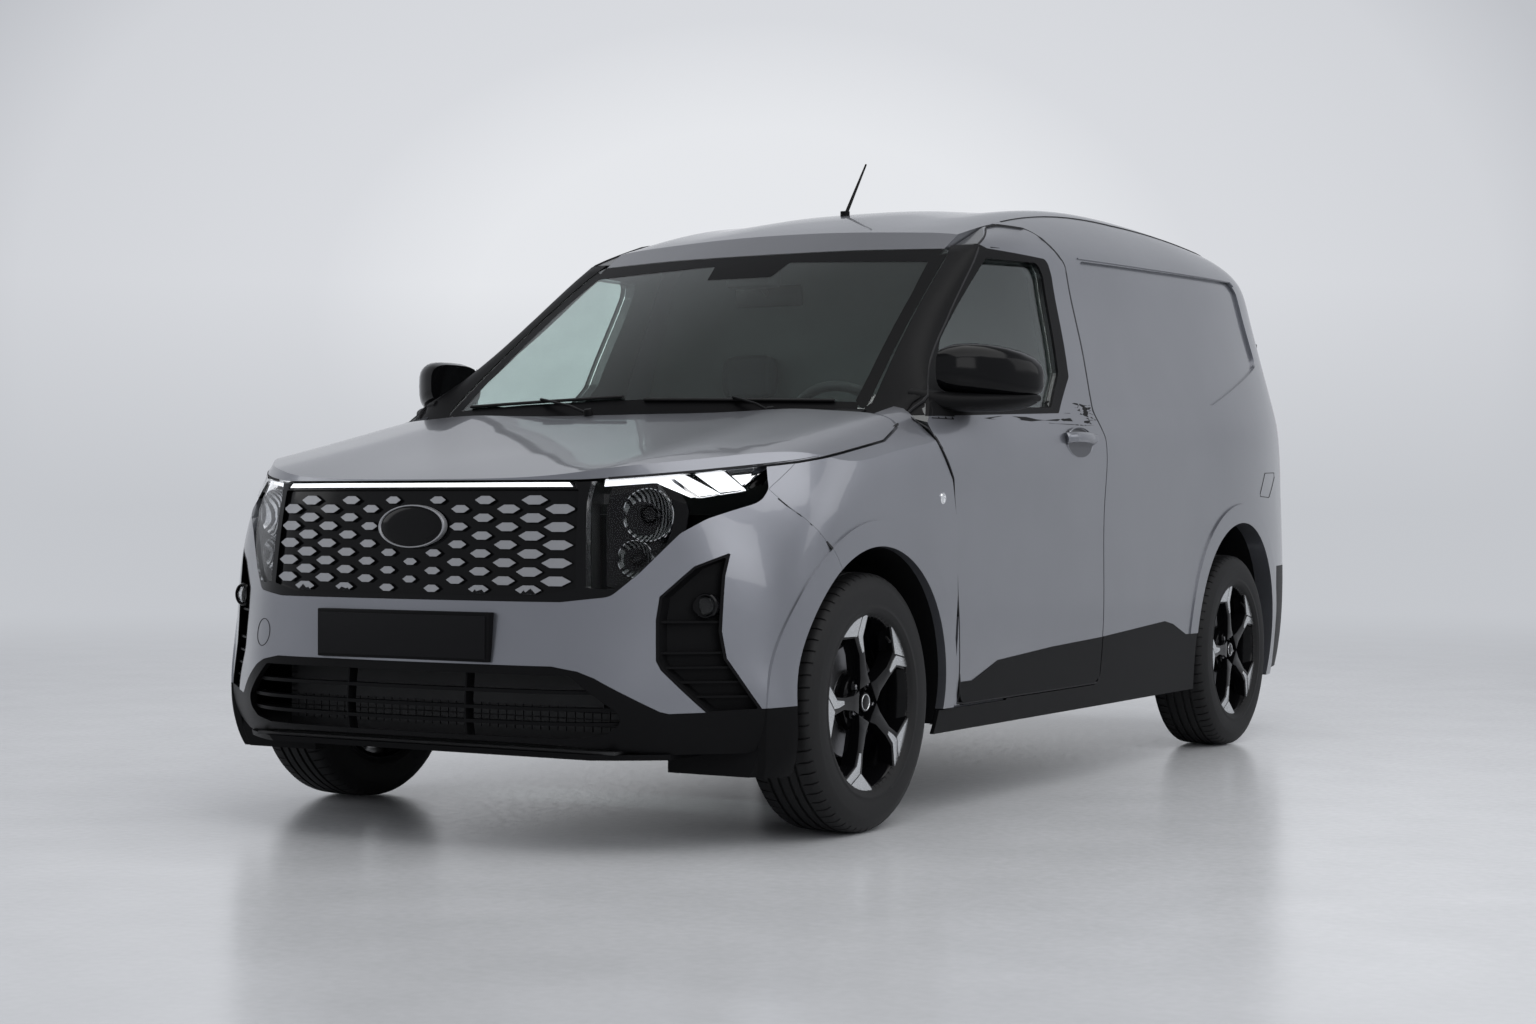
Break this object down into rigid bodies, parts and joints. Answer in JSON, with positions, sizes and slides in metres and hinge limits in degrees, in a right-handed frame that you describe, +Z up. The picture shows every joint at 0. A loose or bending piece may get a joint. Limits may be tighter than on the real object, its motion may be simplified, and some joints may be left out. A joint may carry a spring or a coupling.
{
  "type": "small panel van",
  "caption": "Battery-electric panel van with a short nose, closed load space, hinged front and rear doors, a lifting bonnet and steered front wheels.",
  "frame": {"origin": "on the ground under the middle of the van's length and width", "axes": "+Z up, the front faces -Y, the vehicle's left side is +X"},
  "size_m": [2.0738, 4.3157, 1.9379],
  "materials": {
    "paint": "silver-grey metallic, gloss",
    "black_trim": "fine-grained black",
    "gloss_black": "gloss",
    "lamp_front": "clear lens over dark bezel",
    "lamp_rear": "red lens",
    "glass": "clear, slightly green",
    "side_glass": "clear, slightly green",
    "floor": "satin",
    "cab_trim": "grained",
    "seat_cloth": "woven",
    "tyre_rubber": "matte",
    "wheel_metal": "machined silver over gloss black",
    "chassis_iron": "rough",
    "pack_case": "rough"
  },
  "bodies": {
    "chassis": {"antenna": "gloss_black", "battery_pack": "pack_case", "body_side_left": "paint", "body_side_right": "paint", "bulkhead": "floor", "cowl": "black_trim", "dashboard": "cab_trim", "drive_unit": "pack_case", "fender_left": "paint", "fender_right": "paint", "floor_pan": "floor", "front_bumper": "paint", "front_subframe": "chassis_iron", "grille": "gloss_black", "headlamps": "lamp_front", "load_floor": "floor", "lower_bumper": "black_trim", "rear_axle": "chassis_iron", "rear_bumper": "paint", "roof_panel": "paint", "seats": "seat_cloth", "side_cladding": "black_trim", "tail_lamps": "lamp_rear", "wheelhouse_liners": "black_trim", "windscreen": "glass"},
    "door_left": {"door_left": "paint", "door_glass_left": "side_glass", "mirror_left": "gloss_black", "door_trim_left": "black_trim"},
    "door_right": {"door_right": "paint", "door_glass_right": "side_glass", "mirror_right": "gloss_black", "door_trim_right": "black_trim"},
    "rear_door_left": {"rear_door_left": "paint"},
    "rear_door_right": {"rear_door_right": "paint"},
    "bonnet": {"bonnet": "paint"},
    "steering_wheel": {"steering_wheel": "cab_trim"},
    "upright_left": {"knuckle_left": "chassis_iron"},
    "upright_right": {"knuckle_right": "chassis_iron"},
    "front_left_wheel": {"tyre_front_left": "tyre_rubber", "wheel_front_left": "wheel_metal"},
    "front_right_wheel": {"tyre_front_right": "tyre_rubber", "wheel_front_right": "wheel_metal"},
    "rear_left_wheel": {"tyre_rear_left": "tyre_rubber", "wheel_rear_left": "wheel_metal"},
    "rear_right_wheel": {"tyre_rear_right": "tyre_rubber", "wheel_rear_right": "wheel_metal"}
  },
  "joints": [
    {"name": "steer_left", "type": "hinge", "parent": "chassis", "child": "upright_left", "pos_m": [0.722, -1.3685, 0.328], "axis": [0, 0, 1], "range_deg": [-34, 34]},
    {"name": "steer_right", "type": "hinge", "parent": "chassis", "child": "upright_right", "pos_m": [-0.722, -1.3685, 0.328], "axis": [0, 0, 1], "range_deg": [-34, 34]},
    {"name": "steering_wheel_turn", "type": "hinge", "parent": "chassis", "child": "steering_wheel", "pos_m": [0.37, -0.5685, 1], "axis": [0, 0.9063, 0.4226], "range_deg": [-476, 476]},
    {"name": "door_left_swing", "type": "hinge", "parent": "chassis", "child": "door_left", "pos_m": [0.902, -0.9885, 0.7], "axis": [0, 0, -1], "range_deg": [0, 68]},
    {"name": "door_right_swing", "type": "hinge", "parent": "chassis", "child": "door_right", "pos_m": [-0.902, -0.9885, 0.7], "axis": [0, 0, 1], "range_deg": [0, 68]},
    {"name": "rear_door_left_swing", "type": "hinge", "parent": "chassis", "child": "rear_door_left", "pos_m": [0.7175, 2.1441, 0.635], "axis": [0, 0.0599, -0.9982], "range_deg": [0, 150]},
    {"name": "rear_door_right_swing", "type": "hinge", "parent": "chassis", "child": "rear_door_right", "pos_m": [-0.7175, 2.1441, 0.635], "axis": [0, -0.0599, 0.9982], "range_deg": [0, 150]},
    {"name": "bonnet_lift", "type": "hinge", "parent": "chassis", "child": "bonnet", "pos_m": [0, -1.1065, 1.085], "axis": [-1, 0, 0], "range_deg": [0, 50]},
    {"name": "spin_front_left", "type": "hinge", "parent": "upright_left", "child": "front_left_wheel", "pos_m": [0.78, -1.3685, 0.328], "axis": [1, 0, 0], "continuous": true},
    {"name": "spin_rear_left", "type": "hinge", "parent": "chassis", "child": "rear_left_wheel", "pos_m": [0.78, 1.3235, 0.328], "axis": [1, 0, 0], "continuous": true},
    {"name": "spin_front_right", "type": "hinge", "parent": "upright_right", "child": "front_right_wheel", "pos_m": [-0.78, -1.3685, 0.328], "axis": [1, 0, 0], "continuous": true},
    {"name": "spin_rear_right", "type": "hinge", "parent": "chassis", "child": "rear_right_wheel", "pos_m": [-0.78, 1.3235, 0.328], "axis": [1, 0, 0], "continuous": true}
  ],
  "couplings": [
    {"joint": "steer_right", "follows": "steer_left", "ratio": 1},
    {"joint": "steering_wheel_turn", "follows": "steer_left", "ratio": 14}
  ]
}
